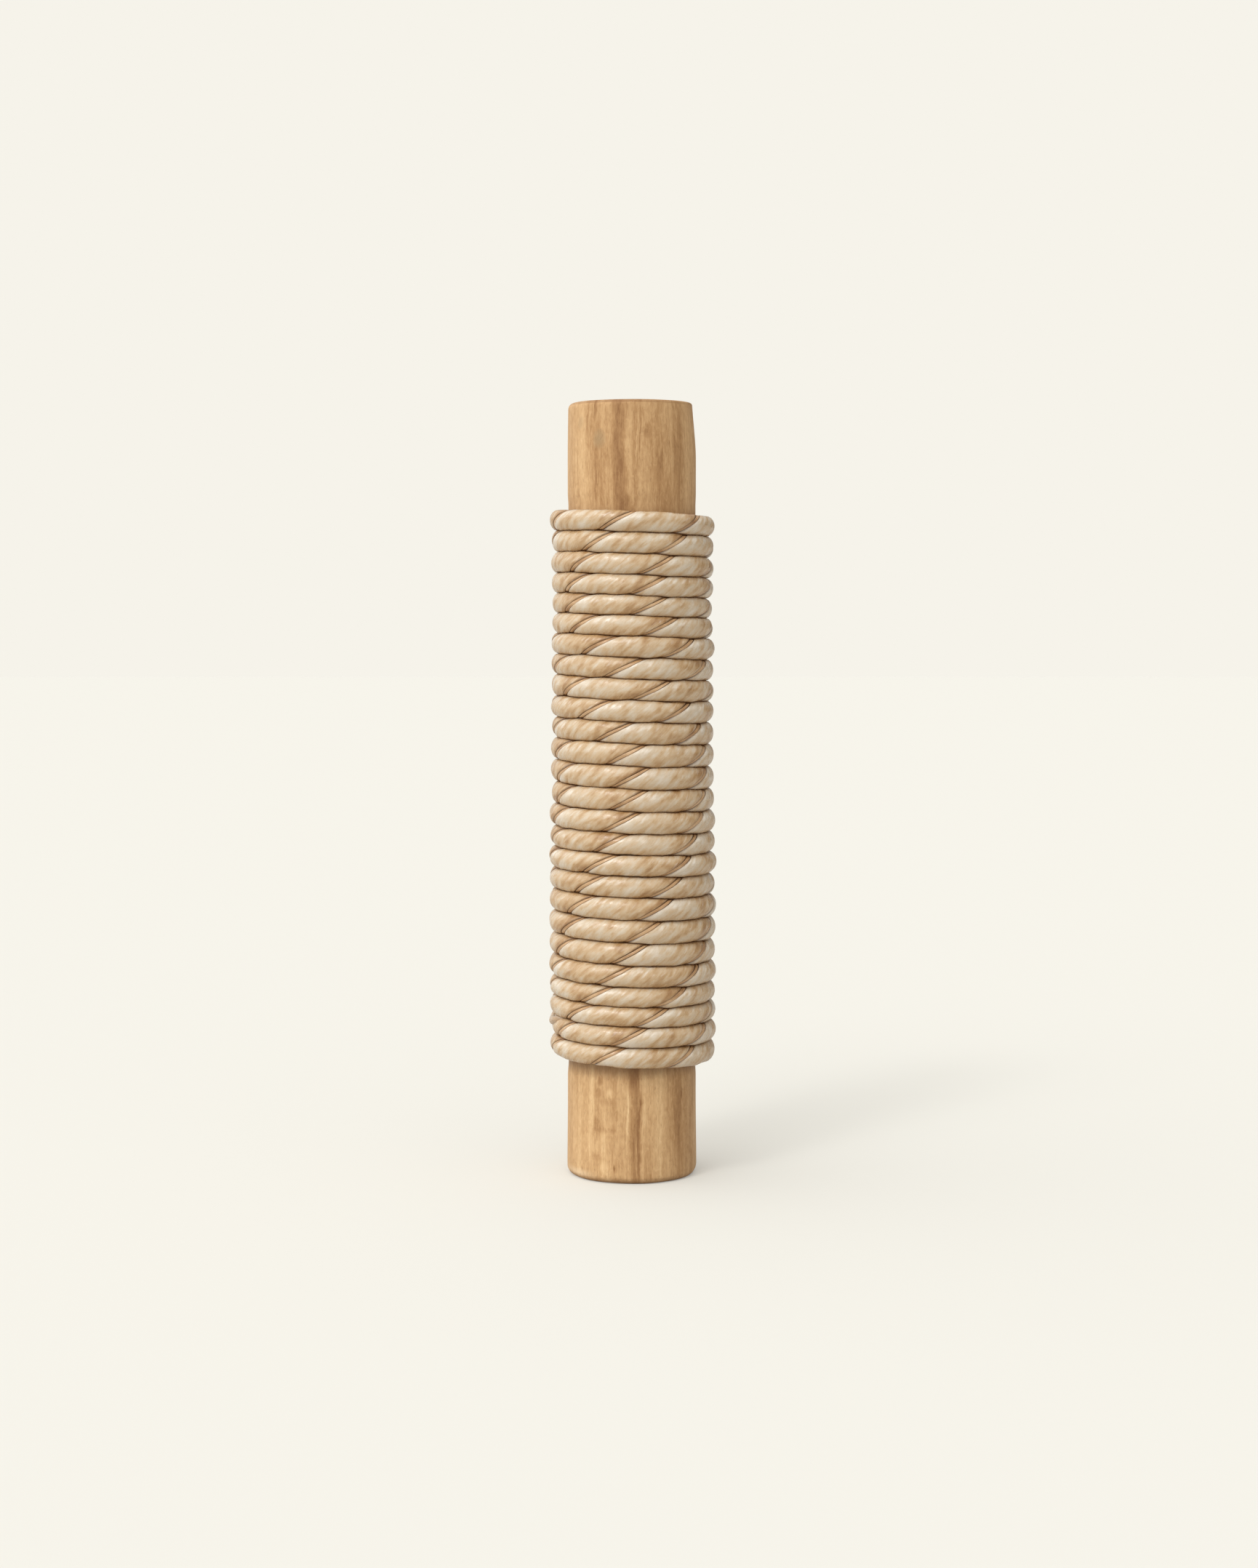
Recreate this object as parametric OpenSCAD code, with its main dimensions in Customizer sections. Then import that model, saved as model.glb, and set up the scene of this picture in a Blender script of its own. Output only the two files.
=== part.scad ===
// Rainstick: a wooden tube, wound with a thick twisted cord, that is closed by a disc at each end.
// A helix of thin pegs crosses the inside, and loose pebbles trickle down past them when it is turned over.
// Millimetres. +Z runs up the tube, -Y is the front, and the origin is the centre of the bottom face.

/* [Tube] */
// Length of the stick from end to end
stick_length = 250; // [200:5:320]
// Outside diameter of the tube
tube_d = 41.8; // [41.4:0.2:46]
// Thickness of the tube's wall
wall = 5; // [4:0.25:5.5]
// Radius of the rounding on both outer rims
rim_r = 1.9; // [0.5:0.1:2.2]
// How much narrower the tube is, on the radius, at its top rim
top_taper = 0.4; // [0:0.1:0.8]
// Height over which the top narrows
taper_height = 16; // [8:1:18]
// How much narrower the tube is, on the radius, where the cord is wound
waist_depth = 0.2; // [0.1:0.05:0.4]

/* [End discs] */
// Thickness of a disc's wide part, let into the tube's end
disc_flange = 3; // [2:0.5:4]
// Length of the narrower spigot behind it
disc_spigot = 7; // [4:0.5:10]
// How far a disc sits below the tube's rim
disc_recess = 0.4; // [0.2:0.1:1]

/* [Cord] */
// Thickness of the cord
cord_d = 5.9; // [5:0.1:6.6]
// Height that the cord climbs in one turn
cord_pitch = 6.8; // [6.7:0.1:8]
// How much of that height falls from left to right across the front
front_drop = 2; // [1:0.1:3]
// Bare tube left below the cord, at the front
bare_bottom = 38.4; // [34:0.2:44]
// Bare tube left above the cord, at the front, to the nearest turn
bare_top = 35.8; // [34:0.2:44]
// Angle that each end of the cord runs on round the back
end_sweep = 70; // [30:5:90]

/* [Pegs] */
// Diameter of a peg
peg_d = 2.2; // [1.6:0.1:2.4]
// Height between one peg and the next
peg_rise = 3.8; // [3.2:0.1:5]
// Height of the lowest peg
peg_start = 46; // [44:1:60]

/* [Pebbles] */
// Diameter of a pebble
pebble_d = 3; // [2:0.1:3]
// Number of pebbles in one column
column_count = 8; // [2:1:9]

/* [Hidden] */
$fn = 64;

WOOD = [0.80, 0.63, 0.44];
END_WOOD = [0.72, 0.54, 0.36];
CORD = [0.84, 0.74, 0.60];
BAMBOO = [0.86, 0.76, 0.55];
STONE = [0.62, 0.58, 0.52];

gap = 0.02;                      // between glued or pressed neighbours
loose_gap = 0.05;                // between pebbles, and to the discs
pebble_side_gap = 0.3;           // from a pebble to the bore
pebble_column_gap = 0.4;         // from the outer column to the inner one
peg_end_gap = 1;                 // from a peg's tip to the far wall
peg_flush = 0.05;                // a peg's outer end sits this far below the waist's surface
cut = 1;                         // how far a cutter runs past the surface it opens

tube_r = tube_d / 2;
bore_r = tube_r - wall;
seat_r = tube_r - rim_r - top_taper - 1;      // recess that holds a disc's wide part
disc_height = disc_recess + disc_flange + disc_spigot;
disc_chamfer = 0.4;

waist_r = tube_r - waist_depth;
waist_run = 3;                                // height over which the tube narrows to its waist
waist_low = bare_bottom - 2 * waist_run;
waist_high = stick_length - bare_top + 2 * waist_run;
coil_r = waist_r + gap + cord_d / 2;          // radius of the cord's centre line
first_turn_z = bare_bottom + (cord_d - front_drop) / 2;
turns = round((stick_length - bare_bottom - bare_top - cord_d) / cord_pitch) + 1;
back_drop = cord_pitch - front_drop;
overlap = 1;                                  // angle by which a back arc runs on inside a front one
back_d = cord_d - 2 * gap;                    // the back arcs are a hair thinner, so that they run inside

tail_d = 1.8;
tail_turn = 2;                                // the tail lies above this turn, counted from the bottom
tail_back = 60;                               // angle that it runs on the back half, to the left side
tail_front = 25;                              // and from there on the front half
tail_gap = 0.1;
tail_clearance = (cord_d + tail_d) / 2 + tail_gap;
half_spacing = cord_pitch / 2 * cos(atan(back_drop / (2 * coil_r)));
tail_r = coil_r + sqrt(pow(tail_clearance, 2) - pow(half_spacing, 2));

pegs_per_turn = 12;
peg_step = 360 / pegs_per_turn;
peg_top = stick_length - bare_top - cord_d;
peg_count = min(4 * pegs_per_turn, floor((peg_top - peg_start) / peg_rise) + 1);
peg_in = bore_r - peg_end_gap;
peg_out = waist_r - peg_flush;

pebble_r = pebble_d / 2;
pebble_pitch = pebble_d + loose_gap;
outer_column_r = bore_r - pebble_side_gap - pebble_r;
inner_column_r = outer_column_r - pebble_column_gap - pebble_d;

// Outline of one rounded outer rim, from the flat end round to the side.
function rim(side_r) = [
    for (a = [0:15:90]) [side_r - rim_r + rim_r * sin(a), rim_r - rim_r * cos(a)]
];

// The same point at the same distance from the stick's other end.
function flip(point) = [point[0], stick_length - point[1]];

// Half outline of the tube: a flat bottom, rounded rims, a shallow waist and a slightly narrowed top.
function tube_outline() = concat(
    [[0, 0]],
    rim(tube_r),
    [[tube_r, waist_low], [waist_r, waist_low + waist_run]],
    [[waist_r, waist_high - waist_run], [tube_r, waist_high]],
    [[tube_r, stick_length - taper_height], [tube_r - top_taper / 4, stick_length - taper_height / 2]],
    [for (i = [6:-1:0]) flip(rim(tube_r - top_taper)[i])],
    [[0, stick_length]]
);

module tube() {
    color(WOOD)
    difference() {
        rotate_extrude() polygon(tube_outline());
        translate([0, 0, -cut]) cylinder(r = bore_r, h = stick_length + 2 * cut);
        translate([0, 0, -cut]) cylinder(r = seat_r, h = disc_recess + disc_flange + cut);
        translate([0, 0, stick_length - disc_recess - disc_flange])
            cylinder(r = seat_r, h = disc_recess + disc_flange + cut);
        for (i = [0:peg_count - 1])
            place_peg(i) translate([0, 0, bore_r - cut]) cylinder(d = peg_d + 2 * gap, h = wall + 2 * cut);
    }
}

// An end disc with its outer face on z = 0 and its spigot pointing up.
module end_disc() {
    color(END_WOOD)
    union() {
        cylinder(r1 = seat_r - gap - disc_chamfer, r2 = seat_r - gap, h = disc_chamfer);
        translate([0, 0, disc_chamfer]) cylinder(r = seat_r - gap, h = disc_flange - disc_chamfer - gap);
        cylinder(r = bore_r - gap, h = disc_flange + disc_spigot);
    }
}

module bottom_disc() {
    translate([0, 0, disc_recess]) end_disc();
}

module top_disc() {
    translate([0, 0, stick_length - disc_recess]) mirror([0, 0, 1]) end_disc();
}

// Part of one round of cord in a plane that falls from left_z at -X to right_z at +X.
module cord_arc(left_z, right_z, start, sweep, thickness, centre_r = coil_r) {
    tilt = atan((left_z - right_z) / (2 * centre_r));
    translate([0, 0, (left_z + right_z) / 2])
        rotate([0, tilt, 0])
            rotate([0, 0, start])
                rotate_extrude(angle = sweep)
                    translate([centre_r / cos(tilt), 0]) circle(d = thickness);
}

function right_z(turn) = first_turn_z + turn * cord_pitch;
function left_z(turn) = right_z(turn) + front_drop;

// Front and back halves lean by different amounts and follow on from each other at the two sides.
module cord() {
    color(CORD)
    union() {
        for (i = [0:turns - 1])
            cord_arc(left_z(i), right_z(i), 180, 180, cord_d);
        for (i = [0:turns - 2])
            cord_arc(left_z(i), right_z(i + 1), -overlap, 180 + 2 * overlap, back_d);
        cord_arc(left_z(-1), right_z(0), -overlap, end_sweep + overlap, back_d);
        cord_arc(left_z(turns - 1), right_z(turns), 180 - end_sweep, end_sweep + overlap, back_d);
    }
}

// The cord's cut end, tucked into the valley between two turns at the left.
module cord_tail() {
    left = left_z(tail_turn - 1) + cord_pitch / 2;
    back_right = right_z(tail_turn) + cord_pitch / 2;
    front_right = right_z(tail_turn - 1) + cord_pitch / 2;
    color(CORD)
    union() {
        cord_arc(left, front_right, 180, tail_front, tail_d, tail_r);
        cord_arc(left, back_right, 180 - tail_back, tail_back + overlap, tail_d - 2 * gap, tail_r);
    }
}

// Turns +Z outwards at the place of peg number i.
module place_peg(i) {
    translate([0, 0, peg_start + i * peg_rise])
        rotate([0, 0, i * peg_step])
            rotate([0, 90, 0])
                children();
}

// Up to twelve pegs, one full round of the helix.
module pegs_turn(turn) {
    first = (turn - 1) * pegs_per_turn;
    last = min(turn * pegs_per_turn, peg_count) - 1;
    color(BAMBOO)
    for (i = [first:last])
        place_peg(i) translate([0, 0, -peg_in]) cylinder(d = peg_d, h = peg_in + peg_out);
}

// The pebbles that fall between one pair of peg directions: an outer and an inner column.
module pebbles(lane) {
    color(STONE)
    rotate([0, 0, (lane - 0.5) * peg_step])
        for (row = [0:column_count - 1], r = [outer_column_r, inner_column_r])
            translate([r, 0, disc_height + loose_gap + pebble_r + row * pebble_pitch])
                sphere(r = pebble_r);
}

tube();
bottom_disc();
top_disc();
cord();
cord_tail();
pegs_turn(1);  // pegs_turn_1
pegs_turn(2);  // pegs_turn_2
pegs_turn(3);  // pegs_turn_3
pegs_turn(4);  // pegs_turn_4
pebbles(1);  // pebbles_01
pebbles(2);  // pebbles_02
pebbles(3);  // pebbles_03
pebbles(4);  // pebbles_04
pebbles(5);  // pebbles_05
pebbles(6);  // pebbles_06
pebbles(7);  // pebbles_07
pebbles(8);  // pebbles_08
pebbles(9);  // pebbles_09
pebbles(10);  // pebbles_10
pebbles(11);  // pebbles_11
pebbles(12);  // pebbles_12
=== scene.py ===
# Looks of the rainstick: the turned tube, the twisted cord wound round it, the end discs, and the pegs and
# pebbles that the tube holds.
import math

import bpy
import numpy as np
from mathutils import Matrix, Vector

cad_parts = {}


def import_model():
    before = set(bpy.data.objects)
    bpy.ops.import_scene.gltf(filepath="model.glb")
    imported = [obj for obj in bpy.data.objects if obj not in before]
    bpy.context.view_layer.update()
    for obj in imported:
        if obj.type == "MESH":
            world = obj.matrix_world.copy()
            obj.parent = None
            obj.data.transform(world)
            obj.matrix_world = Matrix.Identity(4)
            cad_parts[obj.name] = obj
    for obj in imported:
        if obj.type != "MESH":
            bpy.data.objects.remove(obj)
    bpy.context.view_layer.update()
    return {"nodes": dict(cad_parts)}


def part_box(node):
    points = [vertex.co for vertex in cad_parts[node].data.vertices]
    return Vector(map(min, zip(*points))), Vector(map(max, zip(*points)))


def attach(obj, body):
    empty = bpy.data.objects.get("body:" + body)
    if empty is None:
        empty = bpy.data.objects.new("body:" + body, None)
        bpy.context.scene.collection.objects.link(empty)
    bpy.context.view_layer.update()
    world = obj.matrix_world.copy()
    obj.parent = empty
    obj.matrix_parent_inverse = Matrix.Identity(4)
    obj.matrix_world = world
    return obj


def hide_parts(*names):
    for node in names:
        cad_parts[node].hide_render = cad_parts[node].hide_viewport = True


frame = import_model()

MM = 0.001
STICK = "stick"                        # the body that every piece built here rides on

# ---- sizes, in metres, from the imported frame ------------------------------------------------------

tube_lo, tube_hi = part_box("tube")
cord_lo, cord_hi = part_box("cord")
LENGTH = tube_hi.z - tube_lo.z
TUBE_R = tube_hi.x
BORE_R = TUBE_R - 5 * MM
WAIST_DEPTH = 0.2 * MM                 # how much narrower the tube is under the cord
DISC_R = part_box("top_disc")[1].x

TURNS = 26
CORD_D = 5.9 * MM
FRONT_DROP = 2.0 * MM                  # a turn falls this far from -X to +X across the front
END_TURN = 70 / 360                    # each end of the cord runs on this far round the back
COIL_R = cord_hi.x - CORD_D / 2        # radius of the cord's centre line
COIL_ROUND = 2 * np.pi * COIL_R        # length of one turn
END_SHARE = (1 - math.cos(2 * math.pi * END_TURN)) / 2
# The cord's height is: one cord, the first front half, TURNS - 1 pitches and two ends on the back's slope.
PITCH = ((cord_hi.z - cord_lo.z) - CORD_D - FRONT_DROP * (1 - 2 * END_SHARE)) / (TURNS - 1 + 2 * END_SHARE)
BACK_DROP = PITCH - FRONT_DROP
TOP_LEFT_Z = cord_hi.z - CORD_D / 2 - END_SHARE * BACK_DROP

# ---- small helpers --------------------------------------------------------------------------------


def waves(x, terms):
    """Sum of sine waves: each term is (height, wavelength, phase in degrees)."""
    return sum(h * np.sin(2 * np.pi * x / length + math.radians(phase)) for h, length, phase in terms)


def wander(x, step, seed):
    """A smooth random walk along x, about -1 to 1, that changes over distances of about step."""
    rng = np.random.RandomState(seed)
    total = np.zeros_like(np.asarray(x, float))
    for octave in range(3):
        for _ in range(3):
            length = step * rng.uniform(1.5, 3.2) / 2 ** octave
            total += 0.5 ** octave * np.sin(2 * np.pi * x / length + rng.uniform(0, 2 * np.pi)) / 3
    return total


def ripple(x, y, seed):
    """Smooth lumps in two directions, about -1 to 1 and about one unit across."""
    count = 12
    rng = np.random.RandomState(seed)
    total = 0
    for _ in range(count):
        angle, phase = rng.uniform(0, np.pi), rng.uniform(0, 2 * np.pi)
        length = rng.uniform(1.4, 3.0)
        total = total + np.sin(2 * np.pi * (x * math.cos(angle) + y * math.sin(angle)) / length + phase)
    return total / math.sqrt(count)


def smooth(x, low, high):
    """0 below low, 1 above high and a smooth step between them."""
    t = np.clip((x - low) / (high - low), 0, 1)
    return t * t * (3 - 2 * t)


def hump(x, centre, spread):
    """1 at the centre, falling smoothly to nothing on both sides over about twice the spread."""
    return np.exp(-((x - centre) / spread) ** 2)


def round_off(share):
    """Quarter circle: 0 at 0, rising to 1 at 1 and beyond."""
    return np.sqrt(np.clip(1 - (1 - np.clip(share, 0, 1)) ** 2, 0, 1))


def circle(count):
    """Evenly spaced angles round a circle."""
    return np.arange(count) * 2 * np.pi / count


def finish_mesh(name, verts, faces, attributes, material):
    """A smooth-shaded mesh object with vector attributes on its points, riding on the stick."""
    mesh = bpy.data.meshes.new(name)
    mesh.from_pydata(verts.tolist(), [], faces)
    mesh.update()
    mesh.polygons.foreach_set("use_smooth", [True] * len(mesh.polygons))
    for key, values in attributes.items():
        attribute = mesh.attributes.new(key, "FLOAT_VECTOR", "POINT")
        attribute.data.foreach_set("vector", np.asarray(values, np.float32).ravel())
    obj = bpy.data.objects.new(name, mesh)
    bpy.context.scene.collection.objects.link(obj)
    mesh.materials.append(material)
    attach(obj, STICK)
    return obj


def sweep(name, rings, attributes, material):
    """A closed solid through a row of rings: rings[row, column] are points, and each end gets one cap.

    A face starts at its second column, so that its diagonal runs along the cord where the strands twist.
    """
    rows, columns = rings.shape[:2]
    faces = []
    for r in range(rows - 1):
        a, b = r * columns, (r + 1) * columns
        for c in range(columns):
            d = (c + 1) % columns
            faces.append((a + d, b + d, b + c, a + c))
    faces.append(tuple(range(columns - 1, -1, -1)))
    faces.append(tuple((rows - 1) * columns + c for c in range(columns)))
    flat = {key: values.reshape(-1, 3) for key, values in attributes.items()}
    return finish_mesh(name, rings.reshape(-1, 3), faces, flat, material)


class Nodes:
    """Short names for the shader nodes that the materials share."""

    def __init__(self, name):
        self.material = bpy.data.materials.new(name)
        self.material.use_nodes = True
        self.tree = self.material.node_tree
        self.shader = self.tree.nodes["Principled BSDF"]

    def add(self, kind, **inputs):
        node = self.tree.nodes.new(kind)
        for key, value in inputs.items():
            self.put(node.inputs[key.replace("_", " ")], value)
        return node

    def put(self, socket, value):
        if isinstance(value, bpy.types.NodeSocket):
            self.tree.links.new(value, socket)
        else:
            socket.default_value = value

    def attribute(self, name):
        node = self.tree.nodes.new("ShaderNodeAttribute")
        node.attribute_name = name
        return node.outputs["Vector"]

    def position(self):
        return self.tree.nodes.new("ShaderNodeTexCoord").outputs["Object"]

    def mapped(self, vector, scale, shift=(0, 0, 0)):
        return self.add("ShaderNodeMapping", Vector=vector, Scale=scale, Location=shift).outputs["Vector"]

    def noise(self, vector, detail, roughness=0.5, distortion=0.0):
        """Noise about one unit across, 0 to 1."""
        node = self.add("ShaderNodeTexNoise", Vector=vector, Scale=1.0, Detail=detail, Roughness=roughness,
                        Distortion=distortion)
        return node.outputs["Fac"]

    def ramp(self, value, *stops):
        """Colour ramp: stops are (place, colour)."""
        node = self.tree.nodes.new("ShaderNodeValToRGB")
        self.put(node.inputs["Fac"], value)
        elements = node.color_ramp.elements
        while len(elements) < len(stops):
            elements.new(0.5)
        for element, (place, colour) in zip(elements, stops):
            element.position = place
            element.color = (*colour, 1)
        return node.outputs["Color"]

    def level(self, value, *stops):
        """A ramp that gives a plain number: stops are (place, number from 0 to 1)."""
        return self.axis(self.ramp(value, *((place, (number,) * 3) for place, number in stops)), "X")

    def mix(self, share, first, second):
        node = self.tree.nodes.new("ShaderNodeMix")
        node.data_type = "RGBA"
        self.put(node.inputs["Factor"], share)
        for index, value in ((6, first), (7, second)):
            if isinstance(value, tuple):
                value = (*value, 1)
            self.put(node.inputs[index], value)
        return node.outputs[2]

    def math(self, operation, first, second=0.0, clamp=False):
        node = self.tree.nodes.new("ShaderNodeMath")
        node.operation = operation
        node.use_clamp = clamp
        self.put(node.inputs[0], first)
        self.put(node.inputs[1], second)
        return node.outputs[0]

    def plus(self, first, second):
        return self.math("ADD", first, second)

    def minus(self, first, second):
        return self.math("SUBTRACT", first, second)

    def times(self, first, second):
        return self.math("MULTIPLY", first, second)

    def over(self, first, second):
        return self.math("DIVIDE", first, second)

    def square(self, value):
        return self.math("MULTIPLY", value, value)

    def rest_of_one(self, value):
        """One less the value, and never below 0 or above 1."""
        return self.math("SUBTRACT", 1.0, value, clamp=True)

    def axis(self, vector, name):
        return self.add("ShaderNodeSeparateXYZ", Vector=vector).outputs[name]

    def bump(self, height, distance, strength):
        node = self.add("ShaderNodeBump", Height=height, Distance=distance, Strength=strength)
        return node.outputs["Normal"]

    def finish(self, colour, roughness, normal=None, specular=0.5):
        self.put(self.shader.inputs["Base Color"], colour)
        self.put(self.shader.inputs["Roughness"], roughness)
        self.put(self.shader.inputs["Specular IOR Level"], specular)
        if normal is not None:
            self.put(self.shader.inputs["Normal"], normal)
        return self.material

    def glow(self, colour, strength):
        self.put(self.shader.inputs["Emission Color"], (*colour, 1))
        self.put(self.shader.inputs["Emission Strength"], strength)


def srgb(red, green, blue):
    """A colour given as it looks on screen, 0 to 255, as linear light."""
    shares = (red / 255, green / 255, blue / 255)
    return tuple(v / 12.92 if v < 0.0404 else ((v + 0.055) / 1.055) ** 2.4 for v in shares)


# ---- material of the cord -------------------------------------------------------------------------

# Painted shade in the creases between turns and beside the seam.
CREASE_SHADE_BROWN = srgb(112, 72, 40)
SEAM_SHADE_BROWN = srgb(92, 60, 36)
CREASE_GLOW_BROWN = srgb(128, 82, 44)       # painted glow that keeps the creases brown
# Painted highlight on the cord's upper outer side.
HIGHLIGHT_PALE = srgb(250, 244, 234)
FIBRE_STOPS = (0.18, 0.36, 0.52, 0.68, 0.88)
# Tone across the wide strand, from the edge that trails the seam to the one that leads it: painted shade
# where it dips into the groove and painted highlight at the leading edge.
LEAD_SHADING_STOPS = ((0.0, 0.30), (0.12, 0.38), (0.30, 0.50), (0.72, 0.55), (0.92, 0.68), (1.0, 0.64))


def fibre_tone(n, lay):
    """Streaks and blotches of plant fibre, and their fine part alone, on lay = (mm along, mm across)."""
    def layer(length, width, detail, weight, distortion=0.0):
        """Noise around 0, stretched to a length and a width in mm."""
        field = n.noise(n.mapped(lay, (1 / length, 1 / width, 0)), detail, distortion=distortion)
        return n.times(n.minus(field, 0.5), weight)

    patch = layer(12, 7, 1, 0.6)
    blotch = layer(5.0, 1.7, 2, 0.92, 0.15)
    stain = layer(3.6, 0.9, 2, 1.0, 0.2)
    streak = layer(8, 0.6, 3, 0.22)
    hair = layer(14, 0.20, 2, 0.17)
    fine = n.plus(streak, hair)
    # Stains only darken, and only where they are strongest.
    stain = n.math("MINIMUM", n.plus(stain, 0.12), 0.0)
    tone = n.plus(n.plus(patch, blotch), n.plus(fine, stain))
    return n.plus(tone, 0.52), fine


def highlight_patches(n, lay, across, outer):
    """Patches of painted highlight on the upper outer side, mostly where the strand leads the seam."""
    patches = n.noise(n.mapped(lay, (1 / 4.0, 1 / 1.2, 0), shift=(3, 9, 2)), 2.0)
    patches = n.plus(patches, n.level(across, (0.55, 0.0), (0.93, 0.16)))
    return n.times(n.level(patches, (0.56, 0.0), (0.78, 1.0)), outer)


def cord_material(name, colours):
    """Twisted plant fibre: shiny, with painted highlight where it leads the seam and painted shade where it
    trails it.
    """
    n = Nodes(name)
    lay = n.attribute("lay")
    form = n.attribute("form")
    across = n.axis(lay, "Z")
    tone, fine = fibre_tone(n, lay)
    # Painted shade at the trailing edge, painted highlight at the leading edge.
    tone = n.plus(tone, n.minus(n.level(across, *LEAD_SHADING_STOPS), 0.5))
    colour = n.ramp(tone, *zip(FIBRE_STOPS, colours))
    # Painted highlight: pale patches on the upper outer side.
    highlight = highlight_patches(n, lay, across, n.axis(form, "Z"))
    colour = n.mix(n.times(highlight, 0.45), colour, HIGHLIGHT_PALE)
    # Painted shade, with some dust, darkens the creases between turns and the groove beside the thin strand.
    crease = n.times(n.axis(form, "X"), 0.78)
    colour = n.mix(crease, colour, CREASE_SHADE_BROWN)
    colour = n.mix(n.axis(form, "Y"), colour, SEAM_SHADE_BROWN)
    # A faint painted glow in the creases keeps them brown rather than black.
    n.glow(CREASE_GLOW_BROWN, n.times(crease, 0.13))
    normal = n.bump(fine, 0.6 * MM, 0.35)
    gloss = n.noise(n.mapped(lay, (1 / 2.6, 1 / 1.1, 0), shift=(7, 3, 1)), 3.0)
    roughness = n.level(gloss, (0.38, 0.55), (0.58, 0.22))
    return n.finish(colour, roughness, normal, specular=0.7)


# ---- materials of the wood ------------------------------------------------------------------------

# Marks on the tube: (bearing in degrees from the front, + to the right; height in mm; half width in degrees;
# half height in mm; weight).
# In DARK_MARKS, the broad mark at bearing 62 is painted shade on the base's right side, and the spots at 33
# and 35 mm, just under the cord, are painted shade.
DARK_MARKS = (
    (-13, 241, 6.5, 24, 0.42), (-10, 219, 8.0, 18, 0.34), (-36, 249, 2.0, 7, 0.5), (-28, 226, 6.0, 18, 0.20),
    (-43, 246, 1.2, 12, 0.3), (-39, 240, 1.0, 14, 0.22), (-33, 225, 1.4, 10, 0.3), (-6, 214, 12, 8, 0.25),
    (24, 229, 7.0, 6, 0.20), (27, 231, 2.6, 4, 0.16), (14, 240, 5.0, 3.0, 0.40), (46, 236, 9.0, 20, 0.26),
    (30, 216, 12, 14, 0.20), (7, 240, 1.0, 12, 0.3), (5, 232, 60, 34, 0.22), (62, 22, 24, 40, 0.30),
    (3.5, 20, 7.0, 30, 0.64), (6.5, 11, 2.0, 14, 0.35), (7.0, 24, 1.4, 7, 0.35), (0, 35, 9.0, 7, 0.40),
    (-24, 24, 13, 22, 0.02), (-30, 29, 4.0, 2.0, 0.25), (-24, 26, 7.0, 1.3, 0.20), (-31, 19, 6.0, 2.4, 0.20),
    (-26, 17, 12, 0.9, 0.24), (-32, 8, 8.0, 1.2, 0.16), (-29, 33, 3.0, 2.0, 0.45), (-17, 5, 1.0, 1.6, 0.5),
    (38, 20, 14, 30, 0.24), (50, 28, 1.4, 2.4, 0.5), (46, 22, 5.0, 14, 0.25), (100, 225, 6, 30, 0.5),
    (150, 240, 4, 24, 0.4), (-110, 232, 5, 30, 0.5), (-160, 18, 5, 26, 0.5), (120, 14, 4, 20, 0.45),
    (-90, 12, 3, 20, 0.4),
)
PALE_MARKS = (
    (4.4, 239, 0.6, 13, 0.5), (-3, 236, 3.5, 20, 0.35), (-38, 22, 4.0, 24, 0.5), (-20, 29, 3.5, 2.0, 0.5),
    (-60, 20, 16, 30, 0.16), (-4.4, 22, 1.2, 14, 0.5), (-56, 236, 12, 22, 0.25), (-30, 12, 9.0, 4.0, 0.25),
    (-26, 5, 6.0, 2.5, 0.35), (22, 22, 9.0, 24, 0.22), (5, 8, 1.0, 10, 0.4), (170, 233, 4.0, 20, 0.4),
    (-140, 20, 4.0, 16, 0.4), (75, 20, 4.0, 16, 0.4),
)
GREY_MARKS = ((-30, 237.5, 7.5, 3.6, 0.6), (-52, 243, 5, 2.5, 0.3), (140, 20, 8, 4, 0.5))

WOOD_STOPS = (0.16, 0.36, 0.54, 0.78)
PORE_BROWN = srgb(124, 88, 54)
STAIN_GREY = srgb(158, 134, 100)
GLUE_BROWN = srgb(84, 56, 34)
# Painted shade on the top rim's rounding.
RIM_SHADE_BROWN = srgb(136, 96, 62)
# Grime and painted shade low on the base.
BASE_GRIME_SHADE_BROWN = srgb(126, 90, 60)
# Painted shade under the cord.
UNDER_CORD_SHADE_BROWN = srgb(112, 80, 52)
WORN_PALE = srgb(240, 220, 186)

GLUE_LINE = 0.8 * MM                   # width of the dark line where a disc meets the tube
RIM_SHADE_H = 1.6 * MM                  # the painted shade round the top rim begins within this height
# height of the grime and painted shade low on the base
BASE_GRIME_SHADE_H = 4 * MM
WORN_H = 6 * MM


def marks(n, bearing, height, spots):
    """Adds up soft-edged upright spots."""
    total = None
    for at_bearing, at_height, half_width, half_height, weight in spots:
        dx = n.over(n.minus(bearing, at_bearing), half_width)
        dz = n.over(n.minus(height, at_height), half_height)
        spot = n.times(n.rest_of_one(n.plus(n.square(dx), n.square(dz))), weight)
        total = spot if total is None else n.plus(total, spot)
    return total


def place_on_tube(n, place, curl):
    """(bearing in degrees from the front, height in mm) for the marks, both a little wavy like the grain."""
    x, y, z = (n.axis(n.position(), axis) for axis in "XYZ")
    warp = n.noise(n.mapped(place, (1 / (9 * MM), 1 / (9 * MM), 1 / (11 * MM))), 3.0)
    bearing = n.times(n.math("ARCTAN2", x, n.times(y, -1.0)), 180 / math.pi)
    bearing = n.plus(bearing, n.times(n.minus(warp, 0.5), 8.0))
    return bearing, n.plus(n.times(z, 1 / MM), n.times(curl, 9.0)), z


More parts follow.
